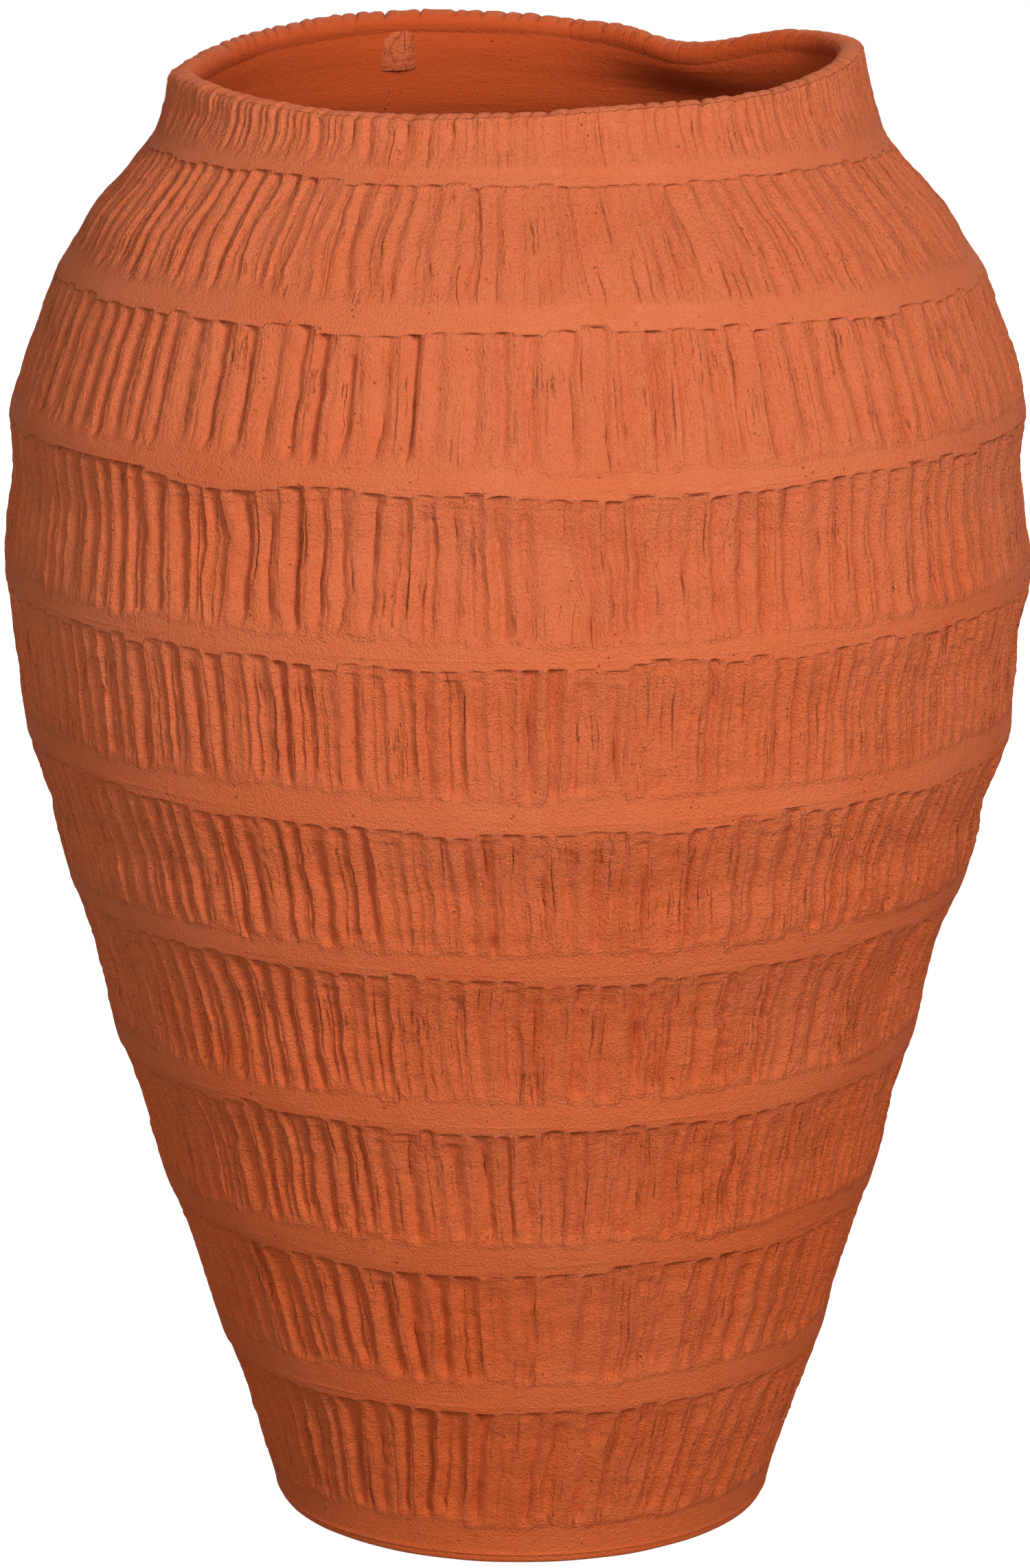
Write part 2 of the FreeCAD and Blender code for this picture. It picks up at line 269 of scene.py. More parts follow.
def outline(level):
    """Radius and slope of the wall's outline at a level."""
    level = np.clip(level, 0.0, JAR_HEIGHT)
    k = np.clip(np.searchsorted(NODES[:, 0], level, side="right") - 1, 0, len(NODES) - 2)
    z0, r0, r1 = NODES[k, 0], NODES[k, 1], NODES[k + 1, 1]
    span = NODES[k + 1, 0] - z0
    m0, m1 = SLOPES[k] * span, SLOPES[k + 1] * span
    t = (level - z0) / span
    bend = 2 * (r0 - r1) + m0 + m1
    lean = 3 * (r1 - r0) - 2 * m0 - m1
    return r0 + t * (m0 + t * (lean + t * bend)), (m0 + t * (2 * lean + 3 * t * bend)) / span


def bump(azimuth, centre, reach):
    """1 at the centre, falling smoothly to 0 where the reach ends."""
    away = np.abs((azimuth - centre + 180) % 360 - 180)
    return np.where(away < reach, (1 + np.cos(np.pi * np.minimum(away, reach) / reach)) / 2, 0)


def total(rows, azimuth):
    """Sum of the bumps in a table of azimuth, reach and size."""
    return sum(size * bump(azimuth, centre, reach) for centre, reach, size in rows)


def smooth(value):
    """0 to 1 with level ends."""
    value = np.clip(value, 0, 1)
    return value * value * (3 - 2 * value)


def fading(down, reach):
    """1 at the top and above, falling off below it."""
    return np.exp(-np.maximum(down, 0) / reach)


def ripple(seed, cells, gap, azimuth, level):
    """Smooth random waves from -1 to 1: so many cells round the jar, so far apart up it."""
    grid = np.random.default_rng(seed).uniform(-1, 1, (cells, 64))
    x = (azimuth / 360.0 % 1.0) * cells
    y = level / gap + 200.37
    i, j = np.floor(x).astype(int), np.floor(y).astype(int)
    fx, fy = smooth(x - i), smooth(y - j)
    i0, i1, j0, j1 = i % cells, (i + 1) % cells, j % 64, (j + 1) % 64
    low = grid[i0, j0] * (1 - fx) + grid[i1, j0] * fx
    high = grid[i0, j1] * (1 - fx) + grid[i1, j1] * fx
    return low * (1 - fy) + high * fy


def ripples(rows, azimuth, level, base=0):
    """A base and the ripples of a table of seed, cells, gap and size."""
    return sum((size * ripple(seed, cells, gap, azimuth, level) for seed, cells, gap, size in rows), base)


def wave(seed, cells, azimuth):
    """Smooth random waves from -1 to 1 that are the same at every level."""
    return ripple(seed, cells, 1.0, azimuth, np.zeros_like(azimuth))


def place(azimuth, level, radius):
    """Points in metres: above the neck's foot they rise and stray with the rim."""
    share = np.clip((level - NECK_FOOT) / (SEAT - NECK_FOOT), 0, 1)
    radius = radius + smooth(share) * total(RIM_STRAYS, azimuth)
    height = level + share * total(RIM_RISES, azimuth)
    turn = np.radians(azimuth)
    return np.stack((radius * np.cos(turn), radius * np.sin(turn), height), -1) * MM


def wobble(azimuth, level, values):
    """How far the hand-raised wall strays from its outline: it swells, leans and wavers."""
    rows = np.array(SWELLS)
    k = np.clip(np.searchsorted(rows[:, 0], level, side="right") - 1, 0, len(rows) - 2)
    t = smooth((level - rows[k, 0]) / (rows[k + 1, 0] - rows[k, 0]))
    out, right = (rows[k, n] + t * (rows[k + 1, n] - rows[k, n]) for n in (1, 2))
    swell = values.swell * (out + right * np.cos(np.radians(azimuth)))
    waver = ripples(((31, 5, 170.0, -0.75), (32, 13, 60.0, -0.25)), azimuth, level, 1)
    return swell - values.wobble / MM * waver


def seam_level(number, azimuth):
    """Level of the seam between two courses."""
    if number == 0:
        return np.full_like(azimuth, SLAB_EDGE)
    waver = 0.7 * wave(50 + number, 7, azimuth) + 0.35 * wave(70 + number, 23, azimuth)
    return NODES[number, 0] + waver + total([row[1:] for row in SEAM_BENDS if row[0] == number], azimuth)


def seam_edge(number, azimuth, values):
    """Level and radius where two courses meet on the outside, a hairline in places."""
    level = seam_level(number, azimuth) + SEAM_RAISES[number]
    dip = 0.10 + 0.12 * wave(90 + number, 31, azimuth)
    proud = SEAM_PROUD if number else FLOOR_SEAM_PROUD
    return level, outline(level)[0] + proud - dip + wobble(azimuth, level, values)


def inside_radius(level, values):
    """Radius of the inner face, the wall's thickness away square to it."""
    radius, slope = outline(level)
    return radius - values.wall / MM * np.hypot(1, slope)


def wiped_inside(azimuth, level, values):
    """Radius of the inner face, waved by the wiping hand."""
    return ripples(((60, 26, 3.5, -0.25), (61, 8, 22.0, 0.4)), azimuth, level, inside_radius(level, values))


def inner_corner(number, azimuth):
    """Level where two courses meet on the inside."""
    return np.full_like(azimuth, NODES[number, 0] + LAP_RISE if number else SLAB_TOP)


# ---- Strokes of the tool ----


def around(course, stroke):
    """Azimuth of a place that is counted in strokes."""
    return stroke * 360 / course.count


def named_course(number):
    """A course's values by name, with its strokes' marks and columns."""
    course = SimpleNamespace(number=number, **dict(zip(COURSE_VALUES, COURSES[number])))
    middle = (course.stop + NODES[min(number + 1, NECK), 0]) / 2
    course.pitch = 2 * math.pi * float(outline(middle)[0]) / course.count
    course.hooks = HOOKS.get(number, PLAIN_HOOKS)
    course.marks = stroke_marks(course)
    course.column = np.tile(np.arange(len(FRACTIONS)), course.count)
    course.i = np.repeat(np.arange(course.count), len(FRACTIONS))
    f = np.tile(FRACTIONS, course.count)
    crease, middle = course.marks.crease[course.i], FRACTIONS[CREASE_COLUMN]
    course.f = np.where(f < middle, f * crease / middle, 1 - (1 - f) * (1 - crease) / (1 - middle))
    course.azimuth = around(course, course.i + course.f)
    sway, own = (0.4, 0.6) if number == NECK else (0.7, 1.0)
    course.end = course.stop + sway * wave(200 + number, 9, course.azimuth)
    course.end = course.end + own * on_columns(course, course.marks.end)
    return course


def stroke_marks(course):
    """Random values of every stroke of a course, the same on each run."""
    count, rng = course.count, np.random.default_rng(400 + course.number)
    azimuth = around(course, np.arange(count) + 0.5)
    broad = np.clip(bump(azimuth, 222, 62) + 0.8 * bump(azimuth, 140, 40), 0, 1)
    dry = np.clip(bump(azimuth, 318, 50) + 0.9 * bump(azimuth, 60, 60), 0, 1)
    narrow, _, side, odd, sharp, own, arch, bite, begun, gap, slipped, slip = rng.uniform(size=(12, count))
    marks = SimpleNamespace()
    marks.deep = np.clip(rng.normal(1, 0.22, count), 0.55, 1.6) * (1 + 0.05 * broad - 0.02 * dry)
    marks.narrow = 1.1 + 1.3 * narrow
    marks.twin = np.where(rng.uniform(size=count) < 0.55 * (1 - 0.4 * broad), 0.55, -0.95)
    near = 0.5 * (np.roll(side, 1) + np.roll(side, -1)) + 0.5 * side - 1
    rare = np.where(odd > 0.9, 2.2 * (sharp - 0.4), 0)
    low, high = course.hooks
    marks.hook = (low + high) / 2 + (high - low) * (0.60 * near + 0.50 * (own - 0.5)) + rare
    marks.arch = 0.9 + 2.6 * arch ** 1.4
    marks.arch_power = 2.0 + 2.5 * sharp
    marks.bite = 0.60 + 0.45 * bite
    marks.end = rng.normal(0, 0.8, count)
    marks.tongue = 4.0 + 8.0 * rng.uniform(size=count) ** 1.3
    marks.second = np.where(begun < course.twice, 2.0 + 6.0 * gap, 0)
    marks.slip = np.where(slipped < 0.45, 1.3 * slip, 0)
    marks.jitter = 0.20 * rng.uniform(-1, 1, count)
    marks.torn = course.torn * (0.45 + 0.35 * dry)
    leaning = rng.uniform(size=count) < 0.6
    crease = np.where(leaning, rng.uniform(0.28, 0.48, count), rng.uniform(0.5, 0.72, count))
    marks.crease = crease + (0.55 - crease) * 0.5 * broad
    for name, odds in (("crease_crack", course.cracked), ("foot_crack", 0.8 * course.cracked)):
        here = rng.uniform(size=count) < odds * (0.6 + 0.4 * dry + 0.3 * (1 - broad))
        setattr(marks, name, SimpleNamespace(
            depth=np.where(here, rng.uniform(0.3, 1.0, count), 0),
            start=rng.uniform(-3, 24, count), length=rng.uniform(10, 34, count)))
    marks.ridge = rng.normal(-0.15, 0.22, count) - 0.10 * dry
    return marks


def on_columns(course, mark):
    """A mark of each column's stroke, or of its two strokes on the ridge between them."""
    i = course.i
    return np.where(course.f == 0, (mark[i] + mark[i - 1]) / 2, mark[i])


def crack_share(course, column, crack, down):
    """Depth of the cracks down one column of the strokes, tapering at both ends."""
    i = course.i
    away = np.abs(2 * (down - crack.start[i]) / crack.length[i] - 1)
    share = np.clip(1 - away ** 2.5, 0, 1) * crack.depth[i]
    return np.where(course.column == column, share, 0)


def tool_section(course, across, down, parted):
    """How deep the tool went across each stroke, from 0 on its ridges to 1 in its crease."""
    marks, i, f = course.marks, course.i, course.f
    crease = marks.crease[i]
    far = np.clip(np.where(f < crease, (crease - f) / crease, (f - crease) / (1 - crease)), 0, 1)
    bowl = (0.5 + 0.5 * np.cos(math.pi * far)) ** marks.narrow[i]
    halves = 0.85 * np.sin(math.pi * far) ** 1.2
    bowl = bowl * (1 - parted) + halves * parted
    head = fading(down, HEAD_REACH)
    bowl = bowl * (1 - smooth((across - 0.60) / 0.26) * head)
    bowl = bowl + (np.clip(1 - (across / 0.72) ** 4, 0, 1) - bowl) * head * 0.8
    channel = np.clip(1 - (far / (0.58 - 0.20 * smooth(down / CHANNEL_REACH))) ** 3, 0, 1)
    return bowl + (channel - bowl) * course.channel


def band_swell(course, azimuth, share, down, below, seed):
    """How a course rounds over: proud in its wiped band, hollow above, a ledge at its head."""
    above = fading(down, 2.5)
    swell = np.interp(share, (0, 0.06, 0.17, 0.30, 0.55, 0.85, 1), (0.1, 0.1, 0.05, -0.1, -0.3, -0.4, -0.3))
    swell = swell * (1 - above) + 0.1 * above
    patch = 0.6 + 0.6 * wave(seed + 1, 9, azimuth)
    return swell - course.ledge * patch * (smooth(below / 0.7) * fading(below, LEDGE_REACH))


def carve(course, values, azimuth, level, share, down, up, below):
    """Outward offset of the combed face, and what it marks.

    Down is from the strokes' heads, up from their ends, and below the next seam.
    """
    marks, i, f, count, seed = course.marks, course.i, course.f, course.count, 500 + 10 * course.number
    turn = around(course, i + 0.5) + 0 * level
    across = np.abs(2 * f - 1)
    arch = marks.arch[i] * across ** marks.arch_power[i]

    parted = smooth(0.5 + marks.twin[i] + 0.45 * ripple(seed + 12, count, 13.0, turn, level))
    bowl = tool_section(course, across, down, parted)
    start = smooth((down - arch) / STEP)
    start = start * (marks.bite[i] + (1 - marks.bite[i]) * smooth(down / BITE_REACH + 0.1))
    finish = smooth((up - 0.6 * marks.tongue[i] * across ** 2) / marks.tongue[i])
    along = ripples(((seed, count, 10.0, 0.28), (seed + 7, count, 3.6, 0.12)), turn, level, 1)
    second = marks.second[i]
    along = along * np.where(second > 0, 1 - 0.45 * (1 - smooth((down - second) / 0.7)), 1)
    depth = course.depth * values.stroke_depth * marks.deep[i]
    drop = smooth(down / STEP)
    collar = np.exp(-((across - 0.74) / 0.13) ** 2) * fading(down, COLLAR_REACH) * drop
    groove = depth * (bowl + 0.15 * marks.bite[i] * collar) * start * finish * along
    slip = marks.slip[i] * fading(down, SLIP_REACH) * np.exp(-((f - 0.9) / 0.07) ** 2) * drop
    field = smooth(down / 0.8) * smooth((up + 0.5) / 3)

    crest = ripples(((seed + 2, count * 2, 6.0, 0.30), (seed + 8, count * 2, 2.2, 0.14)),
                    azimuth, level, marks.ridge[i])
    crest = np.exp(-(np.minimum(f, 1 - f) / 0.05) ** 2) * crest * smooth(down / 12) * smooth(up / 4)
    torn = marks.torn[i] * field
    streaks, shreds, crumbs = (ripple(seed + n, count * fine, gap, azimuth, level)
                               for n, fine, gap in ((3, 4, 11.0), (9, 6, 4.5), (4, 5, 1.7)))
    rough = field * (0.20 * streaks + 0.16 * crumbs) + torn * (0.26 * shreds + 0.28 * crumbs)
    soft = ripples(((seed + 5, 70, 4.5, 0.09), (seed + 11, 260, 1.8, 0.04)), azimuth, level)

    crack = crack_share(course, CREASE_COLUMN, marks.crease_crack, down)
    crack = crack + crack_share(course, WALL_FOOT_COLUMN, marks.foot_crack, down)
    broken = 0.85 + 0.5 * ripple(seed + 6, count, 3.5, azimuth, level)
    crack = np.clip(crack * broken, 0, 1) * field
    outward = band_swell(course, azimuth, share, down, below, seed) - groove - slip + crest + rough + soft
    outward = np.minimum(outward - crack * values.crack_depth / MM, MOST_PROUD)
    # A painted shadow under each stroke's head, laid into the crack mark's colour only
    painted_head_shadow = np.exp(-((down - arch - 0.15) / 0.35) ** 2)
    # The ridge mark, 1 out of the grooves, makes the clay paler there: dust, and a painted highlight
    ridge = np.clip(1 - (groove + slip) / 1.2, 0, 1)
    crack = np.maximum(crack, 0.40 * painted_head_shadow * (across < 0.68))
    return outward, {"field": field, "ridge": ridge, "crack": crack, "torn": torn}


def stray(course, level):
    """Place within the stroke once its crease wanders between its two ridges."""
    f, count = course.f, course.count
    turn = around(course, course.i + 0.5) + 0 * level
    side = ripples((
        (350 + course.number, count, 15.0, 0.13), (370 + course.number, count, 4.0, 0.05)), turn, level)
    crease = course.marks.crease[course.i]
    near = np.where(f < crease, f / crease, (1 - f) / (1 - crease))
    return f + side * near * np.minimum(crease, 1 - crease) * 2


def wandering(course, azimuth, level, share, hold):
    """Azimuth of every point once the strokes lean and wander, held still at the seams."""
    i, f, count, seed = course.i, course.f, course.count, 300 + 10 * course.number
    side = course.wander * ripples((
        (seed, max(count // 7, 3), 38.0, 1.0), (seed + 1, count, 14.0, 0.60),
        (seed + 4, count, 5.5, 0.28), (seed + 2, count * 2, 2.2, 0.12)), azimuth, level)
    jitter = course.marks.jitter
    own = jitter[i] * (1 - f) + jitter[(i + 1) % count] * f
    lean = course.lean * (1 + 0.9 * wave(seed + 3, 5, azimuth)) * (0.5 - share)
    return azimuth + around(course, hold * (own + (side + lean) / course.pitch))


# ---- Meshes ----


def fresh_mesh(name, create, **settings):
    """A mesh with a UV map, from one of bmesh's own shapes."""
    bm = bmesh.new()
    bm.loops.layers.uv.new("strokes")
    create(bm, **settings)
    mesh = bpy.data.meshes.new(name)
    bm.to_mesh(mesh)
    bm.free()
    return mesh


def rework(mesh, job):
    """Runs a job on a mesh as a bmesh, and turns its faces outwards."""
    bm = bmesh.new()
    bm.from_mesh(mesh)
    job(bm)
    bmesh.ops.recalc_face_normals(bm, faces=bm.faces)
    bm.to_mesh(mesh)
    bm.free()


def vertex_points(mesh):
    """Places of a mesh's vertices."""
    flat = np.empty(len(mesh.vertices) * 3)
    mesh.vertices.foreach_get("co", flat)
    return flat.reshape(-1, 3)


def fill_mesh(mesh, points, marks):
    """Moves a mesh's vertices and writes what they carry."""
    mesh.vertices.foreach_set("co", points.astype(np.float32).ravel())
    for key, value in marks.items():
        layer = mesh.attributes.new(key, "FLOAT", "POINT")
        layer.data.foreach_set("value", value.astype(np.float32))
    mesh.polygons.foreach_set("use_smooth", np.ones(len(mesh.polygons), dtype=bool))


def even_marks(like, **own):
    """What a piece without strokes carries, from numbers or arrays."""
    marks = {**dict.fromkeys(MARKS, 0.0), "ridge": 0.5, **own}
    return {key: value + 0 * like for key, value in marks.items()}


def weld_border(bm):
    """Welds the open edges of a grid that is bent into a ring."""
    border = [vert for vert in bm.verts if vert.is_boundary]
    bmesh.ops.remove_doubles(bm, verts=border, dist=WELD)


def ring_mesh(name, points, marks, uvs, sharp):
    """A closed ring: a grid bent round the jar and welded along both its seams.

    Arrays have a row of the section first and a column round the jar second. The UVs are two arrays
    and what a full turn adds.
    """
    rows, columns = points.shape[:2]
    mesh = fresh_mesh(name, bmesh.ops.create_grid, x_segments=columns, y_segments=rows, size=0.5)
    grid = vertex_points(mesh)
    column = np.rint((grid[:, 0] + 0.5) * columns).astype(int)
    row = np.rint((grid[:, 1] + 0.5) * rows).astype(int)
    spot = row % rows, column % columns
    fill_mesh(mesh, points[spot], {key: value[spot] for key, value in marks.items()})
    mesh.attributes.new("row", "INT", "POINT").data.foreach_set("value", spot[0].astype(np.int32))
    corner = np.empty(len(mesh.loops), dtype=np.int32)
    mesh.loops.foreach_get("vertex_index", corner)
    u, v, turn = uvs
    pair = np.stack((u[spot] + np.where(column == columns, turn, 0), v[spot]), -1)[corner]
    mesh.uv_layers["strokes"].data.foreach_set("uv", pair.astype(np.float32).ravel())
    rework(mesh, weld_border)
    sharpen(mesh, sharp)
    return mesh


def sharpen(mesh, rows):
    """Makes the edges along some rows of a ring's section sharp."""
    row = np.empty(len(mesh.vertices), dtype=np.int32)
    mesh.attributes["row"].data.foreach_get("value", row)
    ends = np.empty(len(mesh.edges) * 2, dtype=np.int32)
    mesh.edges.foreach_get("vertices", ends)
    pair = row[ends.reshape(-1, 2)]
    crisp = (pair[:, 0] == pair[:, 1]) & np.isin(pair[:, 0], rows)
    mesh.attributes.new("sharp_edge", "BOOLEAN", "EDGE").data.foreach_set("value", crisp)
    mesh.attributes.remove(mesh.attributes["row"])
    mesh.update()


def add_piece(mesh, node_name, values):
    """Puts a piece in the scene in place of its node, in the finish of its slot."""
    slot = next(row["material_slot"] for row in RECORD["subparts"] if row["node"] == node_name)
    finish, smoothness = FINISHES[slot]
    piece = bpy.data.objects.new(node_name + "_clay", mesh)
    bpy.context.scene.collection.objects.link(piece)
    mesh.materials.append(bpy.data.materials.get(finish) or terracotta(finish, values, smoothness))
    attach(piece, "root")
    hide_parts(node_name)


def between(low, high, shares):
    """Rows at shares of the way between two rows."""
    return [low + share * (high - low) for share in shares]


def course_rows(course, low, high, hook):
    """Levels of a course's outer rows from its low seam to its high one."""
    end = course.end
    field = min(MIDDLE_ROWS, MOST_POINTS // len(end) - OTHER_ROWS) - 10 * (course.number == SHOULDER)
    rows = [low, low + 0.45]
    rows += between(low + 0.45, end - 0.6, (0.2, 0.4, 0.6, 0.8, 1.0))
    rows += [end + up for up in END_ROWS]
    rows += between(end + END_ROWS[-1], hook - HEAD_ROWS[0], np.linspace(0, 1, field + 2)[1:-1])
    rows += [hook - down for down in HEAD_ROWS]
    rows += between(hook - HEAD_ROWS[-1], high - 0.4, (0.5, 1.0)) + [high]
    return np.stack(rows)


def inner_face(top, low, count, azimuth, values):
    """Azimuths, levels and radii of a wiped inner face from its top corner down."""
    level = np.stack(between(top, low, np.linspace(0, 1, count)))
    azimuth = np.broadcast_to(azimuth, level.shape)
    return azimuth, level, wiped_inside(azimuth, level, values)


def stroke_uvs(course, along):
    """UVs in metres: by strokes round the jar, and along the section."""
    u = np.broadcast_to((course.i + course.f) * course.pitch * MM, along.shape)
    return u, along * MM, course.count * course.pitch * MM


def add_shell(course, outer, inner, marks, values):
    """Joins outer and inner faces, each azimuths, levels and radii, into a course's piece."""
    rows = len(outer[1])
    points = np.concatenate((place(*outer), place(*inner)))
    blank = np.zeros(inner[1].shape)
    marks = {key: np.concatenate((value, blank)) for key, value in marks.items()}
    # The inner face gets the inside's painted shade
    marks["inner"] = np.concatenate((0 * outer[1], blank + 1))
    uvs = stroke_uvs(course, np.concatenate((outer[1], inner[1])))
    mesh = ring_mesh(course.node, points, marks, uvs, (0, rows - 1, rows, len(points) - 1))
    add_piece(mesh, course.node, values)


def build_course(number, values):
    """One combed course, from its foot seam to its head seam, with its inner face."""
    course = named_course(number)
    azimuth = course.azimuth
    low_level, low_radius = seam_edge(number, azimuth, values)
    high_level, high_radius = seam_edge(number + 1, azimuth, values)
    hook = seam_level(number + 1, azimuth) - on_columns(course, course.marks.hook)
    level = course_rows(course, low_level, high_level, hook)
    share = (level - NODES[number, 0]) / (NODES[number + 1, 0] - NODES[number, 0])
    hold = smooth((level - low_level) / 5) * smooth((high_level - level) / 2.4)
    spread = around(course, course.i + course.f + hold * (stray(course, level) - course.f))
    turned = wandering(course, spread, level, share, hold)
    outward, marks = carve(course, values, turned, level, share, down=hook - level, up=level - course.end,
                           below=seam_level(number + 1, azimuth) + course.lap - level)
    radius = outline(level)[0] + outward + wobble(turned, level, values)
    radius[0], radius[-1] = low_radius, high_radius
    spread, inside_level, inside = inner_face(
        inner_corner(number + 1, azimuth), inner_corner(number, azimuth),
        16 if number == SHOULDER else 5, azimuth, values)
    if number:
        inside = inside + 0.5 * np.exp(-((inside_level - NODES[number, 0] - 8) / 1.2) ** 2)
    add_shell(course, (turned, level, radius), (spread, inside_level, inside), marks, values)


def neck_course():
    """The neck's course, whose strokes begin above the lip."""
    course = named_course(NECK)
    for crack in (course.marks.crease_crack, course.marks.foot_crack):
        crack.start = crack.start + NECK_START
        crack.length = crack.length * NECK_CRACKS
    return course


def neck_field(course, level, values):
    """Azimuth, radius and marks of the outer face of neck and lip, crossed by one set of strokes."""
    share = (level - NECK_FOOT) / (JAR_HEIGHT - NECK_FOOT)
    hold = smooth((level - seam_edge(NECK, course.azimuth, values)[0]) / 3)
    turned = wandering(course, np.broadcast_to(course.azimuth, level.shape), level, share, hold)
    up = level - course.end
    outward, marks = carve(course, values, turned, level, 0.28 + 0.15 * share, up=up, below=0 * level - 9,
                           down=NECK_START + (JAR_HEIGHT - level))
    outward = outward - 0.35 * smooth(up / 4)
    return turned, outline(level)[0] + outward + wobble(turned, level, values), marks


def build_neck(values):
    """The neck, whose strokes run on over the lip."""
    course = neck_course()
    azimuth, end = course.azimuth, course.end
    low, low_radius = seam_edge(NECK, azimuth, values)
    seat = np.full_like(azimuth, SEAT)
    rows = [low, low + 0.4] + between(low + 0.4, end - 0.3, (0.5, 1.0))
    rows += [end + up for up in (0.2, 0.8, 1.6, 2.6)]
    rows += between(end + 2.6, seat, np.linspace(0, 1, 14)[1:])
    level = np.stack(rows)
    turned, radius, marks = neck_field(course, level, values)
    radius[0] = low_radius
    inner = inner_face(seat, inner_corner(NECK, azimuth), 12, azimuth, values)
    add_shell(course, (turned, level, radius), inner, marks, values)


def build_lip(values):
    """The rolled lip: the neck's strokes break its outer edge, and cuts cross its top."""
    course = neck_course()
    azimuth, i, f, count = course.azimuth, course.i, course.f, course.count
    inset, rise, facing = (value[:, None] + 0 * azimuth for value in np.array(LIP_SECTION).T)
    facing = np.radians(facing)
    level = SEAT + rise
    outer_level = np.minimum(level, JAR_HEIGHT)
    turned, neck_radius, marks = neck_field(course, outer_level, values)
    plain = outline(outer_level)[0] + wobble(turned, outer_level, values)
    relief = neck_radius - plain

    rng = np.random.default_rng(77)
    cut = np.where(rng.uniform(size=count) < 0.8, rng.uniform(0.5, 1.7, count), 0.1)[i]
    side = f - course.marks.crease[i]
    side = side + (side < -0.5) - (side > 0.5)
    notch = cut * np.exp(-(np.abs(side) / 0.10) ** 1.4)
    notch = notch * smooth((inset - 0.6) / 1.6) * smooth((11.4 - inset) / 4)
    raised = rng.uniform(0.0, 0.6, count)[i] * (0.5 + 0.5 * bump(azimuth, 95, 100))
    lump = raised * (1 - np.clip(np.abs(side) / 0.5, 0, 1))
    lump = lump * smooth((inset - 0.3) / 2) * smooth((11 - inset) / 3)
    tear = ripple(880, count * 2, 2.0, turned, inset) * smooth(inset / 0.6) * smooth((5 - inset) / 3)
    crumb = 0.22 * tear * (0.5 + 0.5 * bump(turned, 215, 45))
    edge = 0.30 * wave(881, count, turned)
    edge = (edge + 0.35 * wave(883, 37, turned) - 0.75) * smooth((rise - 3) / 4)
    offset = relief * np.exp(-inset / 2.6) - 0.75 * notch - 0.8 * lump + crumb
    offset = offset + 0.25 * ripple(882, 40, 4.0, turned, inset)
    offset = np.where(rise <= 0, relief * (inset < 1), offset)

    radius = plain - inset * (values.wall / MM) / 10 + offset * np.cos(facing)
    slant = 0.35 * inset * (inset > 0.5) * 360 / (2 * math.pi * 120)
    points = place(turned + slant, level, radius)
    points[..., 2] += (offset * np.sin(facing) + edge) * MM
    points[0] = place(turned[0], level[0], neck_radius[0])
    seat = np.full_like(azimuth, SEAT)
    points[-1] = place(azimuth, seat, wiped_inside(azimuth, seat, values))

    marks = {key: value * (inset < 1.2) for key, value in marks.items()}
    # Painted shade in the lip's notches, through the crack mark
    marks["crack"] = np.maximum(marks["crack"], np.clip(notch / 1.6, 0, 1) * 0.6)
    # The lip's inner face gets the inside's painted shade
    marks["inner"] = smooth((inset - 6) / 5)
    # The lip's top takes the ridges' paler colour: dust, and a painted highlight
    marks["ridge"] = np.maximum(marks["ridge"], smooth((inset - 0.5) / 2) * np.clip(1 - notch, 0, 1))
    uvs = stroke_uvs(course, level + inset)
    add_piece(ring_mesh("lip_coil", points, marks, uvs, (0, len(level) - 1)), "lip_coil", values)


def lay_pad_uvs(bm):
    """Lays the pad's UVs square to the wall."""
    uv = bm.loops.layers.uv["strokes"]
    for face in bm.faces:
        for loop in face.loops:
            loop[uv].uv = (loop.vert.co.x, loop.vert.co.z)


def build_pad(values):
    """The pad of clay thumbed over the lip's join, cracked round its edge."""
    lo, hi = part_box("lip_join_pad")
    mesh = fresh_mesh("lip_join_pad", bmesh.ops.create_icosphere, subdivisions=6, radius=1.0)
    deep, wide, tall = vertex_points(mesh).T
    round_it = np.degrees(np.arctan2(tall, wide)) % 360
    reach = np.hypot(wide, tall)
    uneven = 1 + 0.10 * wave(611, 9, round_it) + 0.05 * ripple(612, 31, 0.3, round_it, reach)
    centre = (lo[2] + hi[2]) / 2 / MM - float(total(RIM_RISES, np.array(PAD_AZIMUTH)))
    level = centre + tall * PAD_HALF_HEIGHT * uneven
    azimuth = PAD_AZIMUTH + np.degrees(wide * PAD_HALF_WIDTH * uneven / PAD_RADIUS)
    thick = PAD_RISE * np.clip(1 - reach ** 2, 0, 1) ** 0.8 + PAD_EDGE
    lines = np.abs(ripple(613, 9, 5.0, round_it, reach * 8)) < 0.07
    crack = np.where(lines & (reach > 0.45), 1.0, 0.0)
    rough = 0.45 * ripple(614, 90, 2.4, azimuth * 4, level) + 0.2 * ripple(615, 200, 0.9, azimuth * 6, level)
    inward = np.where(deep < 0, thick + rough * np.clip(1.3 - reach, 0, 1) - 0.5 * crack, 0.0)
    points = place(azimuth, level, inside_radius(np.minimum(level, SEAT), values) - inward)
    points = np.clip(points, np.array(lo) + 1e-5, np.array(hi) - 1e-5)
    # The pad gets painted shade in its cracks and some of the inside's painted shade
    fill_mesh(mesh, points, even_marks(reach, field=0.6, ridge=0.6, crack=crack * 0.5, torn=0.8, inner=0.3))
    rework(mesh, lay_pad_uvs)
    add_piece(mesh, "lip_join_pad", values)


def close_poles(bm):
    """Takes off the faces that join the floor's two poles, and closes both."""
    close = {vert for vert in bm.verts if math.hypot(vert.co.x, vert.co.y) < POLE}
    wrong = [face for face in bm.faces if all(vert in close for vert in face.verts)]
    bmesh.ops.delete(bm, geom=wrong, context="FACES_ONLY")
    bmesh.ops.holes_fill(bm, edges=[edge for edge in bm.edges if edge.is_boundary], sides=0)


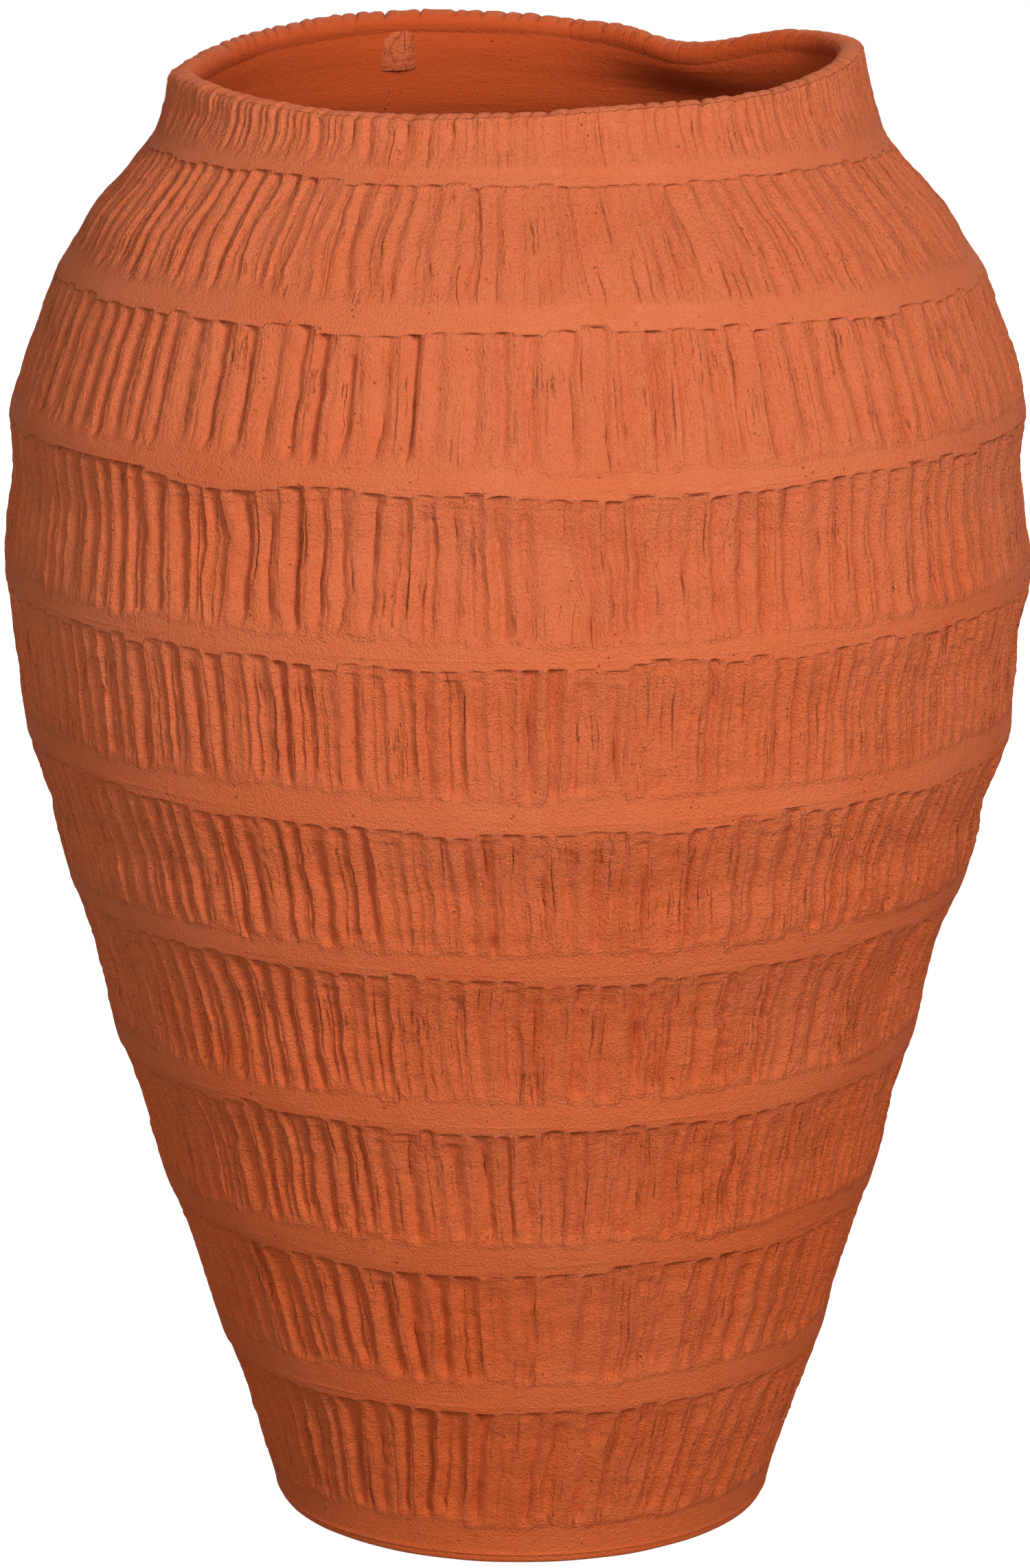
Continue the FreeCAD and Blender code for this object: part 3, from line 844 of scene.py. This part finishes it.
def add_floor_piece(name, azimuth, level, radius, inner, sharp, values, finish=None):
    """Adds a ring of the floor, with UVs round it and along its section."""
    uvs = azimuth / 360 * FLOOR_TURN, (level + radius) * MM, FLOOR_TURN
    mesh = ring_mesh(name, place(azimuth, level, radius), even_marks(level, inner=inner), uvs, sharp)
    if finish:
        rework(mesh, finish)
    add_piece(mesh, name, values)


def build_slab(values):
    """The flat floor: a worn edge, a bevel under the first course and a wire-cut underside."""
    azimuth = np.arange(SLAB_COLUMNS) * 360 / SLAB_COLUMNS
    flat = np.zeros(SLAB_COLUMNS)
    edge = outline(flat)[0] + 0.1 + wobble(azimuth, flat, values)
    worn = 0.5 + 0.4 * wave(21, 40, azimuth)
    low_level, low_radius = seam_edge(0, azimuth, values)
    top_level = inner_corner(0, azimuth)
    top_radius = inside_radius(top_level, values)
    rows = [(share * edge, flat) for share in UNDER_SHARES]
    rows += [(edge - inset * (1 + worn) + 0.12 * up, flat + up) for inset, up in WORN_EDGE]
    seam = len(rows)
    rows.append((low_radius, low_level))
    rows += zip(*(between(low, top, (0.33, 0.66)) for low, top in (
        (low_radius, top_radius), (low_level, top_level))))
    corner = len(rows)
    rows.append((top_radius, top_level))
    rows += [(share * top_radius, top_level) for share in UPPER_SHARES]
    radius, level = (np.stack([row[n] for row in rows]) for n in (0, 1))
    spread = np.broadcast_to(azimuth, level.shape)
    under = level < 0.01
    turn = np.radians(spread)
    arcs = np.sin(np.hypot(radius * np.cos(turn) - 140, radius * np.sin(turn) - 40) / 1.9)
    hollow = smooth((edge - radius - 7) / 12)
    level = np.where(under, 0.35 * hollow + 0.10 * (arcs + 1) * hollow, level)
    top = (level >= SLAB_TOP) & (radius < top_radius - 1)
    level = np.where(top, level - 0.12 * (1 + ripple(23, 14, 9.0, spread, radius)), level)
    # The floor's top and underside get most of the inside's painted shade
    add_floor_piece("base_slab", spread, level, radius, np.where(top | under, 0.6, 0.0), (seam, corner),
                    values, close_poles)


def build_corner_coil(values):
    """The thin coil thumbed into the corner of the floor and the first course."""
    azimuth = np.arange(COIL_COLUMNS) * 360 / COIL_COLUMNS
    top = SLAB_TOP + CORNER_COIL
    corner_radius, top_radius = (
        float(inside_radius(np.array([level]), values)[0]) for level in (SLAB_TOP, top))
    turns = np.linspace(0, 1, COIL_STEPS + 1) * math.pi / 2
    rows = [(corner_radius - CORNER_COIL * (1 - math.sin(turn)),
             SLAB_TOP + CORNER_COIL * (1 - math.cos(turn))) for turn in turns]
    rows[-1] = (top_radius, top)
    rows += [((corner_radius + top_radius) / 2, (SLAB_TOP + top) / 2), (corner_radius, SLAB_TOP)]
    radius, level = (value[:, None] + 0 * azimuth for value in np.array(rows).T)
    spread = np.broadcast_to(azimuth, level.shape)
    free = np.sin(np.clip(np.arange(len(rows)) / COIL_STEPS, 0, 1) * math.pi)[:, None]
    thumb = np.abs(np.sin(np.radians(spread) * THUMB_PRESSES + 0.8 * ripple(25, 9, 99.0, spread, level)))
    press = free * (1.1 * thumb + 0.3 * ripple(24, 90, 3.0, spread, level))
    sharp = (0, COIL_STEPS, COIL_STEPS + 1, COIL_STEPS + 2)
    # The coil inside the jar gets most of the inside's painted shade
    add_floor_piece("base_corner_coil", spread, level + press * 0.5, radius - press * 0.7 + 0.6 * free, 0.8,
                    sharp, values)


# ---- Finishes ----


def node(tree, kind, inputs=(), out=0, **settings):
    """Adds a shader node and gives an output. An input is a value, or a socket to link."""
    made = tree.nodes.new("ShaderNode" + kind)
    for name, value in settings.items():
        setattr(made, name, value)
    for key, value in dict(inputs).items():
        if isinstance(value, bpy.types.NodeSocket):
            tree.links.new(value, made.inputs[key])
        else:
            made.inputs[key].default_value = value
    return made.outputs[out] if made.outputs else None


def math_node(tree, operation, a, b):
    """A sum, product or the like of two values."""
    return node(tree, "Math", {0: a, 1: b}, operation=operation)


def ramp(tree, value, low, high):
    """A value spread from 0 at low to 1 at high."""
    return node(tree, "MapRange", {"Value": value, "From Min": low, "From Max": high})


def blend(tree, factor, first, second):
    """A mix of two colours."""
    first, second = (
        value if isinstance(value, bpy.types.NodeSocket) else (*value, 1.0) for value in (first, second))
    return node(tree, "Mix", {0: factor, 6: first, 7: second}, out=2, data_type="RGBA")


def noise(tree, where, scale, detail, rough=0.55, stretch=None):
    """A noise texture, stretched across and along the strokes where that is given."""
    if stretch:
        where = node(tree, "Mapping", {"Vector": where, "Scale": (*stretch, 1.0)})
    return node(tree, "TexNoise", {"Vector": where, "Scale": scale, "Detail": detail, "Roughness": rough})


def empty_tree(owner):
    """The cleared node tree of a material or a world."""
    owner.use_nodes = True
    owner.node_tree.nodes.clear()
    return owner.node_tree


def terracotta(name, values, smoothness):
    """Fired clay: mottled, paler towards the top with painted light from above, dusty and with a painted
    highlight on its ridges, torn and cracked in the tool's strokes, pitted, with painted shade in its cracks
    and pits and inside the jar.
    """
    material = bpy.data.materials.new(name)
    tree = empty_tree(material)
    times, plus, minus, most = (
        partial(math_node, tree, operation) for operation in ("MULTIPLY", "ADD", "SUBTRACT", "MAXIMUM"))
    spread = partial(ramp, tree)
    where = node(tree, "TexCoord", out="Object")
    strokes = node(tree, "UVMap", uv_map="strokes")
    field, ridge, crack, torn, inner = (
        node(tree, "Attribute", out="Fac", attribute_name=key) for key in MARKS)

    fleck, streak = partial(noise, tree, where), partial(noise, tree, strokes)
    patches = fleck(scale=11.0, detail=3.0)
    clouds = fleck(scale=70.0, detail=4.0)
    crumbs = fleck(scale=480.0, detail=3.0, rough=0.65)
    grain = fleck(scale=1300.0, detail=3.0, rough=0.65)
    lines = streak(scale=900.0, detail=4.0, rough=0.6, stretch=(1.0, 0.10))
    chatter = streak(scale=760.0, detail=3.0, rough=0.6, stretch=(0.35, 1.0))
    wiped = streak(scale=420.0, detail=3.0, rough=0.6, stretch=(0.06, 1.0))
    sway = node(tree, "CombineXYZ", {0: times(fleck(scale=140.0, detail=2.0), 0.0016)})
    swayed = node(tree, "VectorMath", {0: strokes, 1: sway}, operation="ADD")
    veins = noise(tree, swayed, scale=150.0, detail=2.0, rough=0.6, stretch=(1.0, 0.03))
    split = math_node(tree, "ABSOLUTE", minus(veins, 0.5), 0.0)
    split = times(spread(split, 0.011, 0.003), spread(fleck(scale=58.0, detail=2.0), 0.50, 0.64))
    split = times(split, times(field, spread(lines, 0.47, 0.56)))
    cells = node(tree, "TexVoronoi", {"Vector": where, "Scale": 420.0})
    pits = times(spread(cells, 0.22, 0.10), spread(fleck(scale=160.0, detail=2.0), 0.60, 0.66))

    # Paler towards the top: painted light from above, mottled by random patches
    up = node(tree, "SeparateXYZ", {0: where}, out="Z")
    sheen_and_patches = plus(spread(up, 0.05, 0.44), times(minus(patches, 0.5), 1.6))
    colour = blend(tree, spread(sheen_and_patches, 0.0, 1.0), values.clay, values.dust_and_sheen)
    # Painted shade in cracks, pits and splits, under the strokes' heads and in the lip's notches
    painted_crease_shade = most(times(crack, CRACK_SHADE), most(times(pits, PIT_SHADE), times(split, SPLIT_SHADE)))
    layers = (
        (times(spread(clouds, 0.46, 0.72), CLOUD_RUST), values.rust_and_inside_shade),
        # Paler ridges: dust, and a painted highlight that leaves the grooves darker
        (times(times(ridge, spread(crumbs, 0.40, 0.62)), RIDGE_DUST_AND_HIGHLIGHT), values.dust_and_sheen),
        (times(times(spread(lines, 0.50, 0.66), torn), TORN_RUST), values.rust_and_inside_shade),
        (times(spread(grain, 0.56, 0.36), GRAIN_RUST), values.rust_and_inside_shade),
        # The inside turned redder and darker: painted shade inside the jar
        (inner, values.rust_and_inside_shade),
        (times(inner, INSIDE_SHADE), values.shade),
        (painted_crease_shade, values.shade),
    )
    for share, layer in layers:
        colour = blend(tree, share, colour, layer)

    height = plus(times(lines, field), times(times(chatter, field), 0.65))
    height = plus(height, times(times(crumbs, plus(torn, 0.30)), 1.7))
    height = plus(height, times(wiped, plus(0.20, minus(times(inner, 0.3), times(field, 0.20)))))
    height = minus(minus(height, pits), split)
    coarse = node(tree, "Bump", {
        "Height": height, "Distance": COARSE_RELIEF * (1 - COARSE_LOSS * smoothness)})
    skin = node(tree, "Bump", {
        "Height": times(grain, minus(1.0, times(inner, 0.6))), "Normal": coarse,
        "Distance": GRAIN_RELIEF * (1 - GRAIN_LOSS * smoothness)})
    rough = node(tree, "MapRange", {
        "Value": grain, "From Min": 0.3, "From Max": 0.7, "To Min": 0.82, "To Max": 0.96})
    shader = node(tree, "BsdfPrincipled", {
        "Base Color": colour, "Roughness": rough, "Normal": skin, "Specular IOR Level": 0.08})
    node(tree, "OutputMaterial", {"Surface": shader})
    return material


# ---- Stage ----


def stand(scene, name, data, position):
    """An object of the studio at its place."""
    made = bpy.data.objects.new(name, data)
    scene.collection.objects.link(made)
    made.location = position
    return made


def seen_directly(tree):
    """1 for a ray from the camera, off gloss or through glass, and 0 for light."""
    camera, glossy, through = (
        node(tree, "LightPath", out=f"Is {ray} Ray") for ray in ("Camera", "Glossy", "Transmission"))
    return math_node(tree, "MAXIMUM", math_node(tree, "MAXIMUM", camera, glossy), through)


def build_stage(values):
    """A pale floor, soft lamps, a plain bright surround and the camera."""
    scene = bpy.context.scene
    mesh = fresh_mesh("studio_floor", bmesh.ops.create_grid, x_segments=1, y_segments=1, size=FLOOR_HALF)
    floor = stand(scene, "studio_floor", mesh, (0.0, 0.0, 0.0))
    material = bpy.data.materials.new("studio_floor")
    tree = empty_tree(material)
    direct = seen_directly(tree)
    matt = node(tree, "BsdfDiffuse", {"Color": blend(tree, direct, FLOOR_GREY, FLOOR_SEEN)})
    glow = node(tree, "Emission", {
        "Color": WHITE, "Strength": math_node(tree, "MULTIPLY", direct, FLOOR_GLOW)})
    node(tree, "OutputMaterial", {"Surface": node(tree, "AddShader", {0: matt, 1: glow})})
    mesh.materials.append(material)

    scene.world = bpy.data.worlds.new("studio_surround")
    tree = empty_tree(scene.world)
    strength = node(tree, "MapRange", {"Value": seen_directly(tree), "To Min": SURROUND})
    node(tree, "OutputWorld", {"Surface": node(tree, "Background", {"Color": WHITE, "Strength": strength})})

    for name, power, size, position in LAMPS:
        data = bpy.data.lights.new(name, "AREA")
        data.energy = power or values.key_power
        data.size = size
        dx, dy, dz = (a - b for a, b in zip(LAMP_AIM, position))
        stand(scene, name, data, position).rotation_euler = (
            math.atan2(math.hypot(dx, dy), -dz), 0.0, math.atan2(dy, dx) - math.pi / 2)

    data = bpy.data.cameras.new("photo_camera")
    data.sensor_fit = "VERTICAL"
    data.sensor_height = SENSOR
    data.lens = FOCAL_PIXELS / PHOTO_HEIGHT * SENSOR
    data.clip_end = CAMERA_RANGE
    scene.camera = stand(scene, "photo_camera", data, CAMERA_PLACE)
    scene.camera.rotation_euler = (math.radians(90 - CAMERA_DIP), 0.0, 0.0)
    scene.view_settings.view_transform = "Standard"


# ---- Operators and panel ----


class PITHOS_OT_floor(bpy.types.Operator):
    """Cut the flat floor and press the coil into its corner"""

    bl_idname = "pithos.floor"
    bl_label = "Floor"

    def execute(self, context):
        build_slab(context.scene.pithos)
        build_corner_coil(context.scene.pithos)
        return {"FINISHED"}


class PITHOS_OT_courses(bpy.types.Operator):
    """Raise the combed courses from the foot to the shoulder"""

    bl_idname = "pithos.courses"
    bl_label = "Courses"

    def execute(self, context):
        for number in range(NECK):
            build_course(number, context.scene.pithos)
        return {"FINISHED"}


class PITHOS_OT_neck(bpy.types.Operator):
    """Raise the short neck"""

    bl_idname = "pithos.neck"
    bl_label = "Neck"

    def execute(self, context):
        build_neck(context.scene.pithos)
        return {"FINISHED"}


class PITHOS_OT_lip(bpy.types.Operator):
    """Roll the lip, notch it and thumb a pad over its join"""

    bl_idname = "pithos.lip"
    bl_label = "Lip"

    def execute(self, context):
        build_lip(context.scene.pithos)
        build_pad(context.scene.pithos)
        return {"FINISHED"}


class PITHOS_OT_stage(bpy.types.Operator):
    """Set the pale floor, the soft lamps and the camera"""

    bl_idname = "pithos.stage"
    bl_label = "Stage"

    def execute(self, context):
        build_stage(context.scene.pithos)
        return {"FINISHED"}


class PITHOS_PT_panel(bpy.types.Panel):
    """Lists the pieces of the jar and the values that shape them"""

    bl_label = "Pithos"
    bl_idname = "PITHOS_PT_panel"
    bl_space_type = "VIEW_3D"
    bl_region_type = "UI"
    bl_category = "Pithos"

    def draw(self, context):
        column = self.layout.column()
        for name in PithosValues.__annotations__:
            column.prop(context.scene.pithos, name)
        for operator in OPERATORS:
            column.operator(operator.bl_idname)


OPERATORS = (PITHOS_OT_floor, PITHOS_OT_courses, PITHOS_OT_neck, PITHOS_OT_lip, PITHOS_OT_stage)
CLASSES = (PithosValues, *OPERATORS, PITHOS_PT_panel)


def register():
    """Adds the classes and the scene's values."""
    for item in CLASSES:
        bpy.utils.register_class(item)
    bpy.types.Scene.pithos = bpy.props.PointerProperty(type=PithosValues)


def unregister():
    """Takes the classes and the scene's values away."""
    del bpy.types.Scene.pithos
    for item in reversed(CLASSES):
        bpy.utils.unregister_class(item)


def main():
    """Builds every piece."""
    register()
    bpy.ops.pithos.floor()
    bpy.ops.pithos.courses()
    bpy.ops.pithos.neck()
    bpy.ops.pithos.lip()
    bpy.ops.pithos.stage()


if __name__ == "__main__":
    main()
